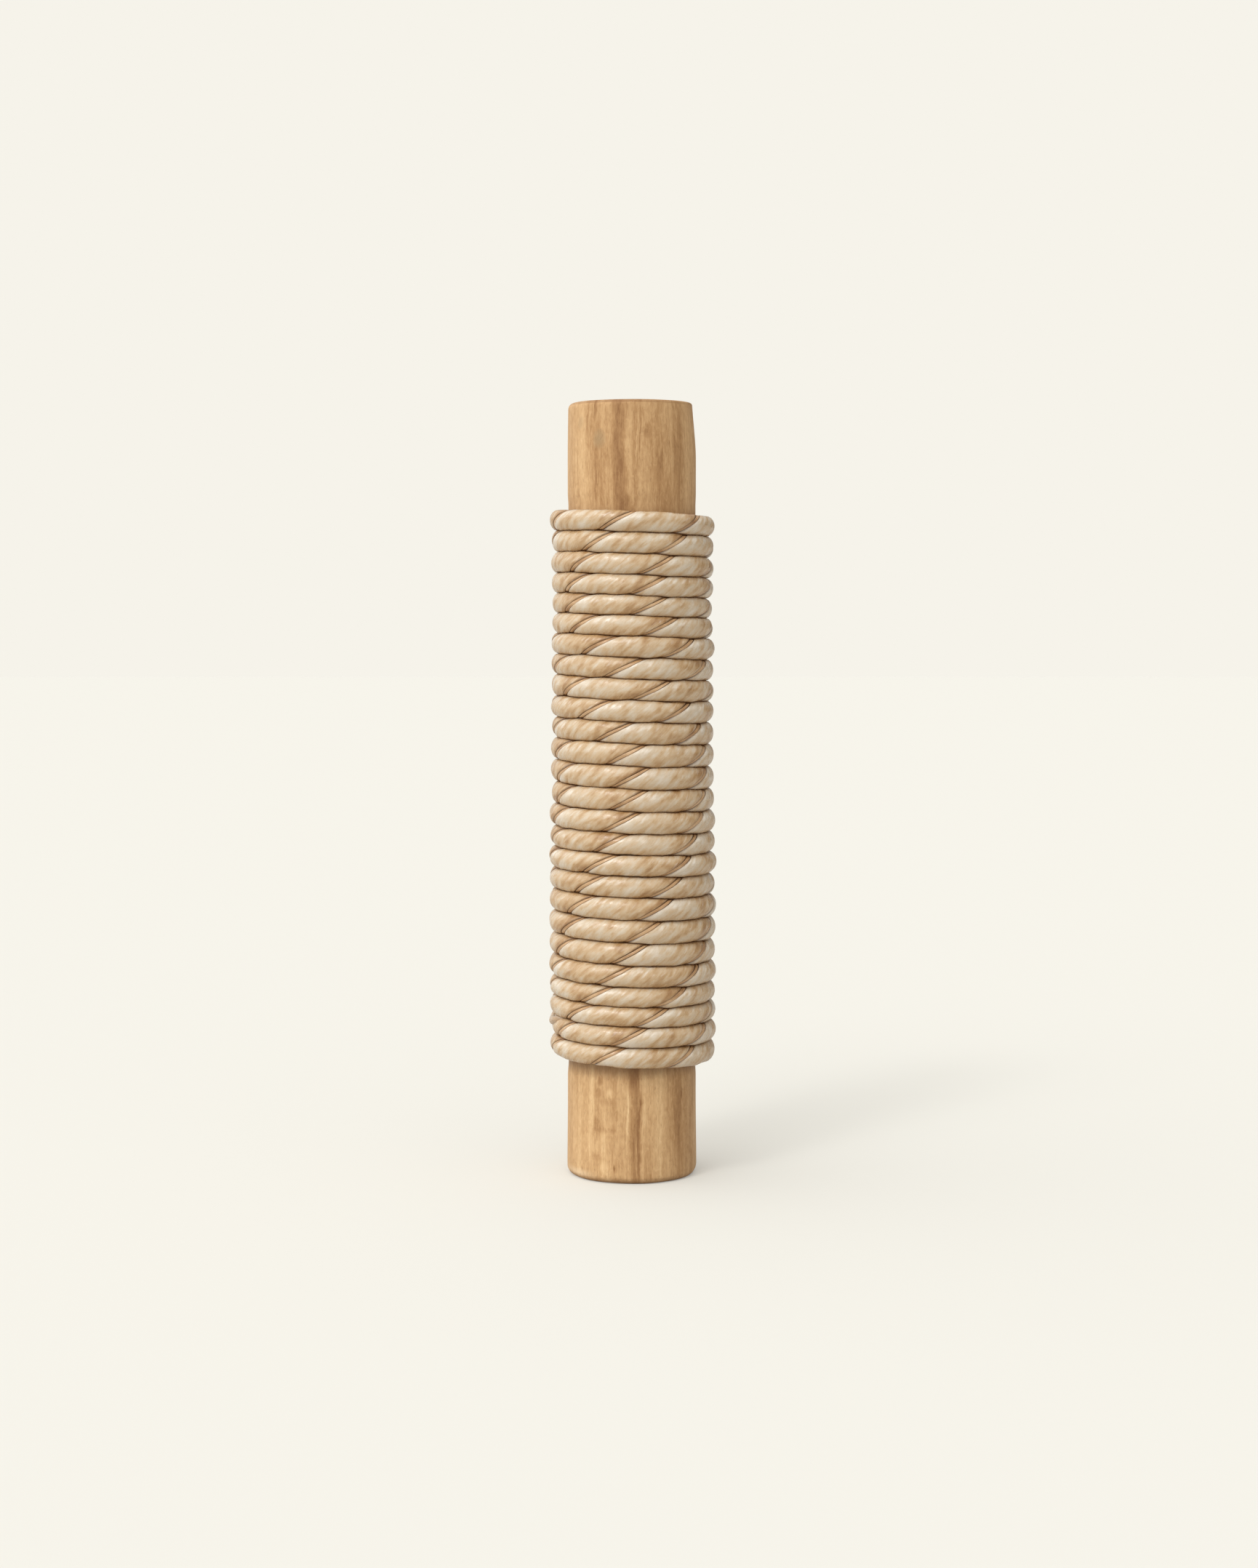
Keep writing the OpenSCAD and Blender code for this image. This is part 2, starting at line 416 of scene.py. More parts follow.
def wood_material(name, colours, marked=False, flat=False, shift=0.0):
    """Straight-grained hardwood, solid through. The grain stands upright, or lies along X if flat is set."""
    n = Nodes(name)
    place = n.mapped(n.position(), (1, 1, 1), shift=(shift, shift * 0.7, shift * 1.3))

    def stretched(size, length):
        scale = (1 / length, 1 / size, 1 / size) if flat else (1 / size, 1 / size, 1 / length)
        return n.mapped(place, scale)

    def layer(size, length, detail, weight, distortion=0.0):
        """Noise around 0, a size across the grain and a length along it."""
        field = n.noise(stretched(size, length), detail, 0.55, distortion)
        return n.times(n.minus(field, 0.5), weight)

    bands = layer(7 * MM, 120 * MM, 2, 0.42, 0.3)
    grain = layer(1.3 * MM, 26 * MM, 4, 0.30, 0.25)
    fibre = layer(0.34 * MM, 4.5 * MM, 3, 0.26)
    curl = layer(0.9 * MM, 2.4 * MM, 2, 0.30, 0.8)
    tone = n.plus(n.plus(n.plus(bands, grain), n.plus(fibre, curl)), 0.5)
    pores = n.noise(stretched(0.30 * MM, 1.5 * MM), 1.5)
    spread = n.noise(stretched(4 * MM, 12 * MM), 1.0)
    pore = n.level(n.plus(pores, n.times(spread, 0.22)), (0.38, 1.0), (0.45, 0.0))
    if marked:
        bearing, height, z = place_on_tube(n, place, curl)
        tone = n.minus(tone, n.times(marks(n, bearing, height, DARK_MARKS), 0.42))
        tone = n.plus(tone, n.times(marks(n, bearing, height, PALE_MARKS), 0.30))
    colour = n.ramp(tone, *zip(WOOD_STOPS, colours))
    if flat:
        colour = glued_rim(n, colour)
    if marked:
        colour = n.mix(marks(n, bearing, height, GREY_MARKS), colour, STAIN_GREY)
        colour = ends_wear_and_shade(n, colour, n.plus(z, n.times(curl, 1.5 * MM)), bearing)
    colour = n.mix(n.times(pore, 0.30), colour, PORE_BROWN)
    relief = n.minus(n.plus(grain, fibre), n.times(pore, 0.35))
    normal = n.bump(relief, 0.35 * MM, 0.35)
    roughness = n.level(tone, (0.3, 0.60), (0.7, 0.48))
    return n.finish(colour, roughness, normal, specular=0.2)


def glued_rim(n, colour):
    """A dark line of glue and dust where a disc meets the tube."""
    x, y = (n.axis(n.position(), axis) for axis in "XY")
    radius = n.math("SQRT", n.plus(n.square(x), n.square(y)))
    line = n.level(n.over(n.minus(DISC_R, radius), GLUE_LINE), (0.0, 1.0), (0.9, 0.0))
    return n.mix(n.times(line, 0.8), colour, GLUE_BROWN)


def height_share(n, z, from_z, to_z):
    """0 at from_z, rising evenly to 1 at to_z."""
    return n.over(n.minus(z, from_z), to_z - from_z)


def ends_wear_and_shade(n, colour, z, bearing):
    """Painted shade round the top rim, grime and painted shade on the base with a worn pale edge, and painted
    shade under the cord.
    """
    front = n.rest_of_one(n.square(n.over(n.plus(bearing, 12.0), 75.0)))
    colour = rim_shade(n, colour, z, front)
    colour = base_grime_and_shade(n, colour, z, front, bearing)
    return under_cord_shade(n, colour, z)


def rim_shade(n, colour, z, front):
    """Painted shade: a darker strip round the top rim's rounding, strongest at the front."""
    strip = n.level(height_share(n, z, LENGTH - RIM_SHADE_H, LENGTH), (0.33, 0.0), (0.45, 1.0))
    return n.mix(n.times(strip, n.plus(n.times(front, 0.38), 0.16)), colour, RIM_SHADE_BROWN)


def base_grime_and_shade(n, colour, z, front, bearing):
    """Grime and painted shade low on the base, most of all at the front, and over it a worn pale edge on the
    left.
    """
    low = n.level(n.plus(height_share(n, z, 0, BASE_GRIME_SHADE_H), n.times(front, -0.12)), (0.05, 1.0), (0.42, 0.0))
    colour = n.mix(n.times(low, n.plus(n.times(front, 0.3), 0.28)), colour, BASE_GRIME_SHADE_BROWN)
    left = n.level(n.times(bearing, -1 / 90), (0.33, 0.0), (0.6, 1.0), (0.9, 0.3))
    worn = n.level(height_share(n, z, 0, WORN_H), (0.16, 0.0), (0.30, 1.0), (0.42, 1.0), (0.66, 0.0))
    return n.mix(n.times(n.times(worn, left), 0.4), colour, WORN_PALE)


def under_cord_shade(n, colour, z):
    """Painted shade: a fuzzy dark band under the lowest turn of the cord."""
    fuzzy = n.noise(n.mapped(n.position(), (1 / (1.1 * MM), 1 / (1.1 * MM), 1 / (3 * MM))), 3.0)
    fuzzy = n.times(n.minus(fuzzy, 0.5), 0.9)
    rise = n.plus(height_share(n, z, cord_lo.z - 3.2 * MM, cord_lo.z + 1.2 * MM), fuzzy)
    under = n.level(rise, (0.15, 0.0), (0.9, 1.0))
    below = n.math("LESS_THAN", z, LENGTH / 2)
    return n.mix(n.times(n.times(under, below), 0.55), colour, UNDER_CORD_SHADE_BROWN)


# ---- materials inside the tube --------------------------------------------------------------------


def bamboo_material():
    """Split bamboo: pale, with darker flecks."""
    n = Nodes("bamboo_pegs")
    flecks = 900                       # in a metre
    fibre = n.noise(n.mapped(n.position(), (flecks, flecks, flecks)), 4.0, 0.6, 0.8)
    colour = n.ramp(fibre, (0.3, srgb(176, 140, 84)), (0.55, srgb(208, 178, 120)), (0.8, srgb(228, 204, 152)))
    return n.finish(colour, 0.55, n.bump(fibre, 0.05 * MM, 0.6), specular=0.4)


def pebble_material():
    """Small pebbles: each is a little lighter or darker than the next, with fine specks."""
    n = Nodes("pebbles")
    pebbles = 330                      # in a metre
    specks = 2400
    each = n.noise(n.mapped(n.position(), (pebbles, pebbles, pebbles)), 0.0)
    speck = n.noise(n.mapped(n.position(), (specks, specks, specks)), 3.0, 0.6)
    tone = n.plus(n.times(each, 0.75), n.times(speck, 0.35))
    colour = n.ramp(tone, (0.35, srgb(96, 84, 74)), (0.52, srgb(150, 136, 120)), (0.72, srgb(196, 186, 168)))
    return n.finish(colour, 0.5, n.bump(speck, 0.04 * MM, 0.5), specular=0.45)


# ---- the course of the cord -----------------------------------------------------------------------

# Places along the cord are given as t, in turns from the top left.
T_FIRST = -END_TURN
T_LAST = TURNS - 0.5 + END_TURN
TAIL_T = 24.0                          # the cut end peeks out at the left, over this turn
# Slow unevenness of the winding, in mm: each turn sits a little high or low.
SPACING_WAVES = ((1.01, 26, -23), (0.28, 8.67, 90), (0.23, 6.5, 158))
# Slow drift of the twist along the cord, in degrees round the tube.
LAY_WAVES = ((45.3, 39, -16), (42.3, 19.5, 149), (21.4, 13, 158))
LAY_SHIFT = -13.6
LEAD = 60.0                            # degrees round the tube in one twist of the cord
STRAIGHTEN = 0.13                      # how much straighter the strands run across the outer side
TAIL_PUSH = 0.5 * MM                   # the turns above and below the cut end are pushed apart by this
TAIL_PUSH_RUN = 0.16                   # and over this share of a turn
NESTLE = 0.16 * MM                     # a turn swells this far into its neighbour's seam
LINE_UNEVEN = 0.06 * MM                # the line between two turns strays by this


def coil_azimuth(t):
    """Azimuth from +X at t turns from the top left: the front is passed on the way from -X to +X."""
    return np.pi + 2 * np.pi * t


def coil_z(t):
    """Height of the cord's centre line."""
    turn = np.floor(t)
    f = t - turn
    front = FRONT_DROP * (1 - np.cos(2 * np.pi * np.minimum(f, 0.5))) / 2
    back = BACK_DROP * (1 - np.cos(2 * np.pi * (np.maximum(f, 0.5) - 0.5))) / 2
    # The unevenness fades out at both ends of the cord.
    uneven = waves(t + 0.25, SPACING_WAVES) * MM * smooth(t, -0.3, 0.6) * (1 - smooth(t, 25.0, 25.9))
    part = TAIL_PUSH * (hump(t, TAIL_T - 1, TAIL_PUSH_RUN) - hump(t, TAIL_T, TAIL_PUSH_RUN))
    small = 0.10 * MM * wander(t, 0.35, 5)
    return TOP_LEFT_Z - PITCH * turn - front - back + uneven + part + small


def lay_phase(t, share=0.0):
    """How far the twist has turned at t turns, for a point a share of the way across the wide strand."""
    drift = waves(t + 0.75, LAY_WAVES) + LAY_SHIFT
    return 2 * np.pi * ((360 * (t - 0.25) - drift) / LEAD + share)


def section_angle(phase):
    """Angle round the cord's section, 0 outwards and 90 degrees up, for a phase of the twist."""
    return phase - STRAIGHTEN * np.sin(2 * phase)


def seam_angle(t):
    """Section angle of the seam where the wide strand's two edges meet."""
    return section_angle(lay_phase(t))


def facing(angle):
    """1 where the angle is 0, falling to nothing by about 40 degrees to either side."""
    return np.exp(5 * (np.cos(angle) - 1))


def line_above(t):
    """Height of the line where the cord at t turns meets the turn above it, swayed by the seams of both."""
    sway = facing(seam_angle(t - 1) + np.pi / 2) - facing(seam_angle(t) - np.pi / 2)
    return (coil_z(t - 1) + coil_z(t)) / 2 + NESTLE * sway + LINE_UNEVEN * wander(t, 0.018, 61)


# ---- the section of the cord ----------------------------------------------------------------------

PRESS = 1.05                           # how hard neighbouring turns flatten each other
FLATNESS = 14                          # how sharply the flattened side bends into the round one
TURN_GAP = 0.01 * MM
TURN_OPENING = 0.10 * MM               # the gap between turns widens by up to about this in places
EASE = 0.06                            # turns over which a free side swells to meet the neighbouring turn
FREE_TOP = 3.15 * MM                   # height of the cord over its centre line where no turn lies above it
FREE_BOTTOM = 3.4 * MM
FREE_UNEVEN = 0.16 * MM
PERIMETER = 20 * MM                    # round the cord's section
END_SINK = 0.42 * CORD_D / 2           # how far the surface sinks at the rounded cut ends


def turn_gap(t):
    """Half of the gap between the cord at t turns and the turn above it, wider here and there."""
    opening = TURN_OPENING * np.maximum(wander(t, 0.13, 67) - 0.1, 0)
    return TURN_GAP + opening * np.sin(coil_azimuth(t)) ** 4


def half_heights(t):
    """Half height of the cord above and below its centre line, up to the neighbouring turns."""
    here = coil_z(t)
    meets_up = smooth(t - 1, T_FIRST - EASE, T_FIRST)
    meets_down = 1 - smooth(t + 1, T_LAST, T_LAST + EASE)
    free_top = FREE_TOP + FREE_UNEVEN * wander(t, 0.045, 43)
    free_bottom = FREE_BOTTOM + FREE_UNEVEN * wander(t, 0.045, 47)
    up = free_top + (line_above(t) - here - turn_gap(t) - free_top) * meets_up
    down = free_bottom + (here - line_above(t + 1) - turn_gap(t + 1) - free_bottom) * meets_down
    return up, down


def fullness(t):
    """How much wider than its plain radius the cord is at t turns, in mm."""
    lean = 0.10 * np.cos(coil_azimuth(t)) - 0.12
    lower_turns = 0.35 * smooth(t, 12, 16)
    slim_turn = 0.40 * hump(t, 4.3, 0.45)
    beside_tail = 0.52 * hump(t, TAIL_T, 0.15)
    top_turn = 0.30 * hump(t, 0, 0.5)
    return lean + lower_turns - slim_turn - beside_tail + top_turn + 0.14 * wander(t, 1.1, 11)


def cord_surface(t, phi, sink):
    """Points on the cord at t turns and section angle phi, sunk below its full section."""
    up, down = half_heights(t)
    az = coil_azimuth(t)
    wide = CORD_D / 2 + fullness(t) * MM
    flat = PRESS * np.sin(phi)
    flat = flat * ((1 + PRESS ** FLATNESS) / (1 + flat ** FLATNESS)) ** (1 / FLATNESS) / PRESS
    keep = 1 - sink / wide
    r = TUBE_R - WAIST_DEPTH + wide + np.cos(phi) * wide * keep
    z = coil_z(t) + flat * np.where(flat > 0, up, down) * keep
    return np.stack([r * np.cos(az), r * np.sin(az), z], -1)


def end_shrink(t):
    """Sinks the surface to round off the two cut ends."""
    reach = 0.9 * MM / COIL_ROUND
    return END_SINK * (1 - round_off(np.minimum(t - T_FIRST, T_LAST - t) / reach))


def row_places(step):
    """Values of t along the whole cord, closer together at the rounded ends."""
    reach = 1.0 * MM / COIL_ROUND
    ease = np.array([0, 0.06, 0.18, 0.36, 0.62]) * reach
    middle = np.arange(T_FIRST + reach, T_LAST - reach, step / COIL_ROUND)
    return np.concatenate([T_FIRST + ease, middle, (T_LAST - ease)[::-1]])


# ---- the strands of the cord ----------------------------------------------------------------------

SEAM_ANGLE = math.radians(40)          # between the seam and the cord's length
FIBRE_ANGLE = math.radians(49)         # the fibres stand a little steeper
EDGE_DROP = 0.30 * MM                  # the wide strand is lower at its edges by this
GROOVE = ((0, 0.85), (0.58, 0.85), (0.64, 0.60), (0.72, 0.12), (1.0, 0.01))  # (mm from the seam, mm deep)
FLANK_COLUMNS = 21                     # columns between the two sides of the groove
WIDE_STEP = 1.25 * MM
LUMP = 0.07 * MM                       # height of the soft lumps on the wide strand
LUMP_LENGTH = 9                        # and their size in mm, along the fibres and across them
LUMP_WIDTH = 4
SEAM_SHADE = (0.62, 0.78)              # the dark line beside the seam fades out between these, in mm from it
CREASE_FROM = 0.88                     # the shade in a crease begins at this sine of the section angle
# Where the painted highlight lies round the cord's section, and how widely it spreads.
HIGHLIGHT_ANGLE = math.radians(24)
HIGHLIGHT_SPREAD = math.radians(15)
THIN_STEP = 0.62 * MM
THIN_COLUMNS = 14
THIN_HALF_WIDTH = 0.57 * MM
THIN_HALF_HEIGHT = 0.26 * MM
THIN_SINK = 0.10 * MM                  # the thin strand's top lies this far under the wide strand's edges
THIN_UNEVEN = 0.14                     # share by which its width varies
THIN_FURROW = 0.14                     # share by which its furrows are lower than its ridges
THIN_STRETCH = 1.3                     # its length for each length of cord, because it runs aslant
THIN_PLACE = 40                        # mm across the fibre pattern where its own streaks are taken from


def pressed_shut(phi):
    """Share of the seam's depth that is left where the neighbouring turns press on it."""
    return 1 - 0.60 * smooth(np.abs(np.sin(phi)), 0.78, 1.0)


def crown(share):
    """How far the wide strand lies below the cord's full section, at a share of the way across it."""
    return EDGE_DROP * np.abs(2 * share - 1) ** 6


def fibre_lay(t, around):
    """(mm along the fibres, mm across them) at t turns and a distance round the section."""
    along = t * COIL_ROUND
    c, s = math.cos(FIBRE_ANGLE), math.sin(FIBRE_ANGLE)
    return (along * c + around * s) / MM, (around * c - along * s) / MM


def crease_shade(phi):
    """Shade towards the line between turns, and all over the hidden inner side."""
    shade = np.clip((np.abs(np.sin(phi)) - CREASE_FROM) / (1 - CREASE_FROM), 0, 1) ** 2
    return np.where(np.cos(phi) < 0, 1.0, shade)


def highlight_band(phi):
    """1 on the upper outer side of the cord, where the painted highlight goes."""
    from_middle = (phi - HIGHLIGHT_ANGLE + np.pi) % (2 * np.pi) - np.pi
    return np.exp(-from_middle ** 2 / (2 * HIGHLIGHT_SPREAD ** 2))


def wide_strand(material):
    """The cord's body: one wide ribbon-like strand whose two edges meet in a groove."""
    scale = MM / (math.cos(SEAM_ANGLE) * PERIMETER)
    groove = sorted({(side * d * scale, depth * MM) for side in (-1, 1) for d, depth in GROOVE})
    rest = np.linspace(groove[-1][0], 1 + groove[0][0], FLANK_COLUMNS + 2)[1:-1]
    u = np.array([place for place, _ in groove] + list(rest))
    depth = np.array([deep for _, deep in groove] + [0] * len(rest))
    t, u = np.meshgrid(row_places(WIDE_STEP), u, indexing="ij")
    share = np.mod(u, 1.0)
    phi = section_angle(lay_phase(t, u))
    along_fibre, across_fibre = fibre_lay(t, lay_phase(t, share) / (2 * np.pi) * PERIMETER)
    lumps = LUMP * ripple(along_fibre / LUMP_LENGTH, across_fibre / LUMP_WIDTH, 31) * np.sin(np.pi * share)
    sink = (crown(share) + depth[None, :]) * pressed_shut(phi) + end_shrink(t) + lumps
    lay = np.stack([along_fibre, across_fibre, share], -1)
    from_seam = np.minimum(share, 1 - share) / scale
    # form holds painted shade in the creases, painted shade beside the seam and the band of painted
    # highlight.
    form = np.stack([crease_shade(phi), 1 - smooth(from_seam, *SEAM_SHADE), highlight_band(phi)], -1)
    return sweep("cord_wide_strand", cord_surface(t, phi, sink), {"lay": lay, "form": form}, material)


def seam_frame(t, sink):
    """Points along the seam, and unit vectors out of the cord and sideways across the seam."""
    step = 1e-5
    centre = cord_surface(t, seam_angle(t), sink)
    ahead = cord_surface(t + step, seam_angle(t + step), sink)
    outer = cord_surface(t, seam_angle(t), sink - 0.3 * MM)
    tangent = ahead - centre
    tangent /= np.linalg.norm(tangent, axis=1)[:, None]
    normal = outer - centre
    normal -= (normal * tangent).sum(1)[:, None] * tangent
    normal /= np.linalg.norm(normal, axis=1)[:, None]
    return centre, normal, np.cross(tangent, normal)


def thin_strand(material):
    """The narrow strand that lies in the groove."""
    t = row_places(THIN_STEP)
    angle = seam_angle(t)
    sink = (EDGE_DROP + THIN_SINK) * pressed_shut(angle) + THIN_HALF_HEIGHT + end_shrink(t)
    centre, normal, side = seam_frame(t, sink)
    half_width = THIN_HALF_WIDTH * (1 + THIN_UNEVEN * wander(t * 150, 14, 71))
    around = circle(THIN_COLUMNS)
    boxy = np.sign(np.sin(around)) * np.abs(np.sin(around)) ** 0.7
    lift = boxy * (1 - THIN_FURROW * (np.cos(5 * around) > 0.5))
    rings = (centre[:, None] + side[:, None] * (half_width[:, None] * np.cos(around)[None])[..., None]
             + normal[:, None] * (THIN_HALF_HEIGHT * lift)[None, :, None])
    shape = rings.shape[:2]
    along = np.broadcast_to((t * COIL_ROUND / MM * THIN_STRETCH)[:, None], shape)
    across = np.broadcast_to((np.cos(around) * THIN_HALF_WIDTH / MM + THIN_PLACE)[None], shape)
    lay = np.stack([along, across, np.full(shape, 0.5)], -1)
    # Painted shade at its two edges, along the groove.
    dark = np.broadcast_to(smooth(np.abs(np.cos(around)), 0.85, 0.98)[None], shape)
    crease = np.broadcast_to(crease_shade(angle)[:, None], shape)
    form = np.stack([crease, dark, np.zeros(shape)], -1)
    return sweep("cord_thin_strand", rings, {"lay": lay, "form": form}, material)


# ---- the cut end ----------------------------------------------------------------------------------

TAIL_FROM = 146.0                      # azimuth, in degrees, of the cut end at the back
TAIL_TO = 226.0                        # and of the place where it dives under
TAIL_ROWS = 110
TAIL_COLUMNS = 18
TAIL_HALF = 1.35 * MM
TAIL_DROP = 2.25 * MM                  # at the left it sags this far below the middle of the valley
TAIL_SAG_SPREAD = math.radians(20)
TAIL_SINK = 1.0 * MM                   # its middle lies this far inside the cord's outer side
TAIL_DIVE = 3.4 * MM                   # and this much deeper where it dives under
TAIL_NARROW = 0.75                     # share of its thickness that it loses there


def cord_tail(material):
    """The cut end, tucked into the valley at the left, where it dives between the two turns."""
    az = np.radians(np.linspace(TAIL_FROM, TAIL_TO, TAIL_ROWS))
    u = (az - az[0]) / (az[-1] - az[0])
    t = az / (2 * np.pi) - 0.5 + TAIL_T
    valley = (coil_z(t - 1) + coil_z(t)) / 2 - TAIL_DROP * hump(az, np.pi, TAIL_SAG_SPREAD)
    rounding = np.maximum(round_off(u / 0.016), math.sqrt(0.3))
    half = TAIL_HALF * (1 - TAIL_NARROW * smooth(u, 0.47, 1.0)) * rounding
    radius = COIL_R + CORD_D / 2 - TAIL_SINK - TAIL_DIVE * smooth(u, 0.57, 0.93)
    around = circle(TAIL_COLUMNS)
    # Three soft ridges wind round it seven times.
    bulge = 1 + 0.05 * np.sin(3 * around[None] + 7 * u[:, None] * 2 * np.pi)
    r = radius[:, None] + half[:, None] * 0.95 * bulge * np.cos(around)[None]
    z = valley[:, None] + half[:, None] * 1.1 * bulge * np.sin(around)[None]
    rings = np.stack([r * np.cos(az)[:, None], r * np.sin(az)[:, None], z], -1)
    along = np.broadcast_to((az * COIL_R / MM)[:, None], r.shape)
    across = np.broadcast_to((around * 1.4)[None], r.shape) + 9 * u[:, None]
    lay = np.stack([along, across, np.full(r.shape, 0.6)], -1)
    # Painted shade, deeper where it dives under.
    dark = np.broadcast_to((0.22 + 0.5 * smooth(u, 0.40, 0.87))[:, None], r.shape)
    form = np.stack([dark, np.zeros(r.shape), np.zeros(r.shape)], -1)
    return sweep("cord_cut_end", rings, {"lay": lay, "form": form}, material)


# ---- the tube -------------------------------------------------------------------------------------

TUBE_COLUMNS = 192
TUBE_STEP = 1.0 * MM
RIM_R = 1.9 * MM
RIM_STEPS = 9
WAIST_RUN = 4 * MM                     # height over which it narrows towards the cord
TAPER_H = 18 * MM                      # height over which the top narrows
TAPER = 0.75 * MM                      # and how much
TAPER_LEAN = 0.55 * MM                 # the top narrows more on the +X side
SEAT_R = DISC_R + 0.02 * MM            # the recess that holds a disc
SEAT_H = 3.4 * MM
CHAMFER_W = 0.25 * MM
CHAMFER_H = 0.2 * MM


def tube_radius(az, z):
    """Outer radius of the tube at an azimuth and a height, without the rim rounding."""
    top = LENGTH - z
    taper = smooth(-top, -TAPER_H, 0) * 0.35 + np.clip(1 - top / TAPER_H, 0, 1) ** 1.5 * 0.65
    waist = smooth(z, cord_lo.z - WAIST_RUN, cord_lo.z) * (1 - smooth(z, cord_hi.z, cord_hi.z + WAIST_RUN))
    flare = 0.18 * MM * (1 - smooth(z, 2 * MM, 24 * MM))
    uneven = 0.05 * MM * np.sin(2 * az + 1.1 + z * 20) + 0.04 * MM * np.sin(3 * az - z * 34)
    plain = TUBE_R - 0.08 * MM - waist * WAIST_DEPTH + flare + uneven * (1 - waist)
    return plain - taper * (TAPER + TAPER_LEAN * np.cos(az))


def tube(material):
    """The outer wall with its rims, the recess for each disc and the bore, as one closed surface."""
    az = circle(TUBE_COLUMNS)
    rings = []

    def ring(radius, z):
        radius = np.broadcast_to(radius, az.shape)
        rings.append(np.stack([radius * np.cos(az), radius * np.sin(az), np.broadcast_to(z, az.shape)], -1))

    turn = np.linspace(0, np.pi / 2, RIM_STEPS)
    rounding = list(zip(1 - np.cos(turn), 1 - np.sin(turn)))
    wear = 1 + 0.10 * np.sin(3 * az + 0.7) + 0.07 * np.sin(7 * az + 2.0)
    # The base is worn rounder than the top, and the top is worn rounder on the left.
    base_drop = RIM_R * wear * 1.45
    base_inset = RIM_R * wear * 1.1
    top_drop = RIM_R * wear * (0.80 - 0.46 * np.cos(az))
    top_inset = RIM_R * wear * (0.70 - 0.38 * np.cos(az))
    for inset, drop in reversed(rounding):
        ring(tube_radius(az, base_drop) - base_inset * inset, base_drop * drop)
    for z in np.arange(4.0 * MM, LENGTH - 3.2 * MM, TUBE_STEP):
        ring(tube_radius(az, z), z)
    for inset, drop in rounding:
        ring(tube_radius(az, LENGTH - top_drop) - top_inset * inset, LENGTH - top_drop * drop)
    ring(SEAT_R + CHAMFER_W, LENGTH)
    ring(SEAT_R, LENGTH - CHAMFER_H)
    ring(SEAT_R, LENGTH - SEAT_H)
    ring(BORE_R, LENGTH - SEAT_H)
    ring(BORE_R, SEAT_H)
    ring(SEAT_R, SEAT_H)
    ring(SEAT_R, CHAMFER_H)
    ring(SEAT_R + CHAMFER_W, 0)
    return finish_mesh("wooden_tube", np.concatenate(rings), closed_faces(len(rings)), {}, material)


def closed_faces(count):
    """Faces between neighbouring rings of the tube, where the last ring joins the first."""
    faces = []
    for r in range(count):
        a, b = r * TUBE_COLUMNS, ((r + 1) % count) * TUBE_COLUMNS
        for c in range(TUBE_COLUMNS):
            d = (c + 1) % TUBE_COLUMNS
            faces.append((a + c, a + d, b + d, b + c))
    return faces


# ---- build ----------------------------------------------------------------------------------------

strand_finish = cord_material("twisted_cord", (
    srgb(156, 116, 72), srgb(179, 144, 101), srgb(196, 168, 131), srgb(203, 184, 157), srgb(212, 199, 180)))
thin_finish = cord_material("thin_strand", (
    srgb(148, 106, 68), srgb(166, 126, 84), srgb(184, 145, 102), srgb(198, 162, 120), srgb(214, 182, 142)))
tube_wood = wood_material("tube_hardwood", (
    srgb(146, 106, 68), srgb(178, 138, 94), srgb(205, 167, 121), srgb(232, 200, 152)), marked=True)
disc_wood = wood_material("disc_hardwood", (
    srgb(150, 110, 74), srgb(182, 140, 96), srgb(204, 164, 118), srgb(224, 190, 144)), flat=True, shift=0.31)

wide = wide_strand(strand_finish)
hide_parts("cord")
thin = thin_strand(thin_finish)
tail = cord_tail(strand_finish)
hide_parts("cord_tail")
wall = tube(tube_wood)
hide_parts("tube")


def finish_nodes(word, material):
    """Gives a material to the CAD nodes that have this word in their names."""
    for name in sorted(frame["nodes"]):
        if word in name:
            mesh = frame["nodes"][name].data
            mesh.materials.clear()
            mesh.materials.append(material)


finish_nodes("pegs", bamboo_material())
finish_nodes("pebbles", pebble_material())
finish_nodes("disc", disc_wood)

# ---- stage, light and camera ----------------------------------------------------------------------

BACKDROP = srgb(246, 243, 234)
FLOOR_HALF = 6.0
FLOOR_ALBEDO = (0.741, 0.733, 0.683)
FLOOR_BOUNCE = (0.60, 0.59, 0.565)
FLOOR_GLOW = 0.25                      # this share of what the camera sees of the floor takes no shadow

SKY_COLOUR = (1.0, 0.985, 0.96, 1)
SKY_FROM = (-0.72, -0.30, 0.66)        # the sky is brightest in this direction
SKY_DIM = 0.16
SKY_BRIGHT = 1.55

CAMERA_PLACE = (-0.95 * MM, -0.827, 0.1836)
CAMERA_LENS = 58.42
CAMERA_SHIFT = -0.0691
CAMERA_TILT = 1.51                     # degrees down


def floor():
    """A pale floor. The camera sees the pale paint, and the object gets less light back from it."""
    s = FLOOR_HALF
    mesh = bpy.data.meshes.new("floor")
    mesh.from_pydata([(-s, -s, 0), (s, -s, 0), (s, s, 0), (-s, s, 0)], [], [(0, 1, 2, 3)])
    obj = bpy.data.objects.new("floor", mesh)
    bpy.context.scene.collection.objects.link(obj)
    n = Nodes("pale_floor")
    seen = n.tree.nodes.new("ShaderNodeLightPath").outputs["Is Camera Ray"]
    paint = tuple(channel * (1 - FLOOR_GLOW) for channel in FLOOR_ALBEDO)
    mesh.materials.append(n.finish(n.mix(seen, FLOOR_BOUNCE, paint), 0.9, specular=0.0))
    n.glow(BACKDROP, n.times(seen, FLOOR_GLOW))


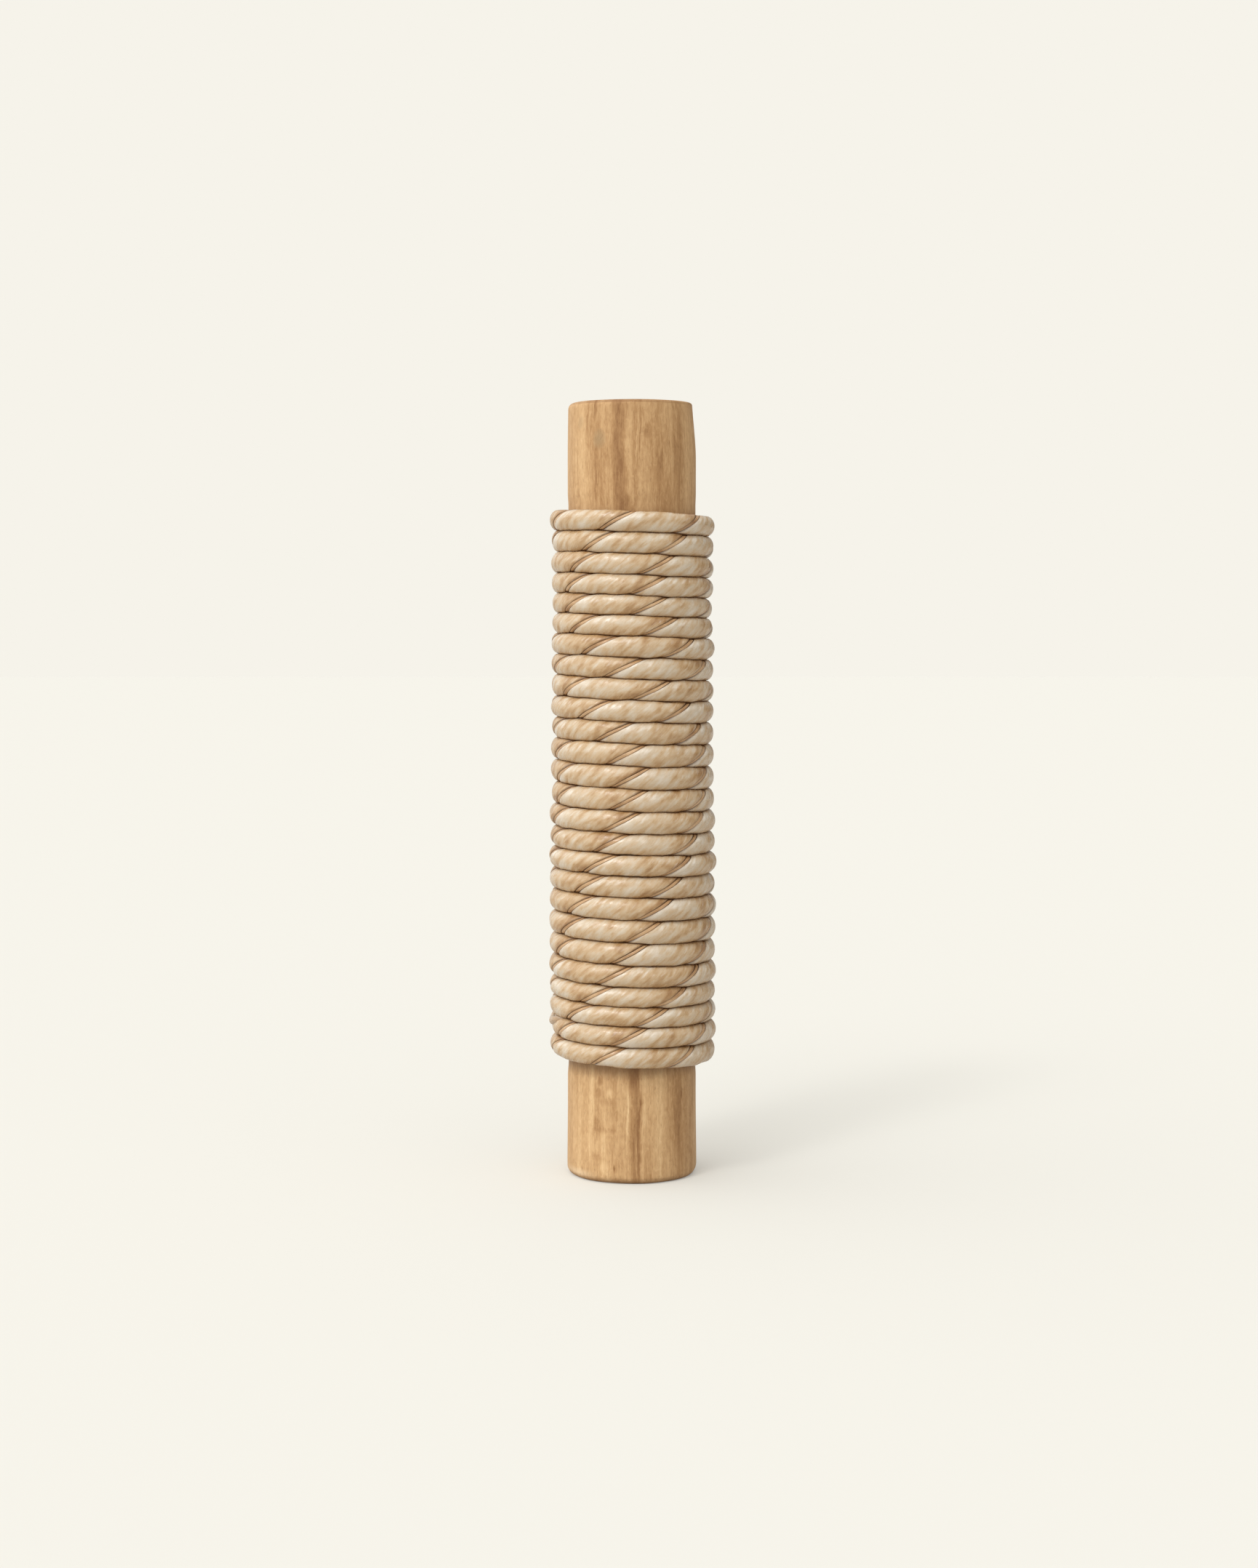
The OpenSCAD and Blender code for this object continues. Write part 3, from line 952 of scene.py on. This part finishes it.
def sky_strength(tree):
    """Output that rises from dim to bright towards the direction that the soft light comes from."""
    nodes, links = tree.nodes, tree.links
    coord = nodes.new("ShaderNodeTexCoord")
    dot = nodes.new("ShaderNodeVectorMath")
    dot.operation = "DOT_PRODUCT"
    dot.inputs[1].default_value = np.array(SKY_FROM) / np.linalg.norm(SKY_FROM)
    rise = nodes.new("ShaderNodeMapRange")
    rise.inputs["From Min"].default_value = -0.6
    rise.inputs["From Max"].default_value = 1.0
    rise.inputs["To Min"].default_value = SKY_DIM
    rise.inputs["To Max"].default_value = SKY_BRIGHT
    links.new(coord.outputs["Generated"], dot.inputs[0])
    links.new(dot.outputs["Value"], rise.inputs["Value"])
    return rise.outputs["Result"]


def world():
    """An even pale backdrop for the camera, and soft light, mostly from the left, front and above."""
    studio = bpy.data.worlds.new("studio")
    bpy.context.scene.world = studio
    studio.use_nodes = True
    tree = studio.node_tree
    nodes, links = tree.nodes, tree.links
    nodes.clear()
    out = nodes.new("ShaderNodeOutputWorld")
    pick = nodes.new("ShaderNodeMixShader")
    path = nodes.new("ShaderNodeLightPath")
    shown = nodes.new("ShaderNodeBackground")
    shown.inputs["Color"].default_value = (*BACKDROP, 1)
    light = nodes.new("ShaderNodeBackground")
    light.inputs["Color"].default_value = SKY_COLOUR
    links.new(sky_strength(tree), light.inputs["Strength"])
    links.new(path.outputs["Is Camera Ray"], pick.inputs["Fac"])
    links.new(light.outputs[0], pick.inputs[1])
    links.new(shown.outputs[0], pick.inputs[2])
    links.new(pick.outputs[0], out.inputs["Surface"])


def sun(name, strength, width, direction):
    """A far, soft light that shines along direction, a width in degrees across."""
    data = bpy.data.lights.new(name, "SUN")
    data.energy = strength
    data.angle = math.radians(width)
    obj = bpy.data.objects.new(name, data)
    bpy.context.scene.collection.objects.link(obj)
    obj.rotation_euler = Vector(direction).to_track_quat("-Z", "Y").to_euler()


def camera():
    """Looks along +Y from the front, a little down, with the lens shifted so that uprights stay upright."""
    data = bpy.data.cameras.new("camera")
    data.lens = CAMERA_LENS
    data.sensor_width = 36
    data.shift_y = CAMERA_SHIFT
    data.clip_end = 20
    obj = bpy.data.objects.new("camera", data)
    bpy.context.scene.collection.objects.link(obj)
    obj.location = CAMERA_PLACE
    obj.rotation_euler = (math.radians(90 - CAMERA_TILT), 0, 0)
    bpy.context.scene.camera = obj


floor()
world()
sun("key", 0.56, 30, (0.37, 0.60, -0.71))
sun("glint", 0.34, 10, (0.40, 0.56, -0.73))
camera()
bpy.context.scene.view_settings.view_transform = "Standard"
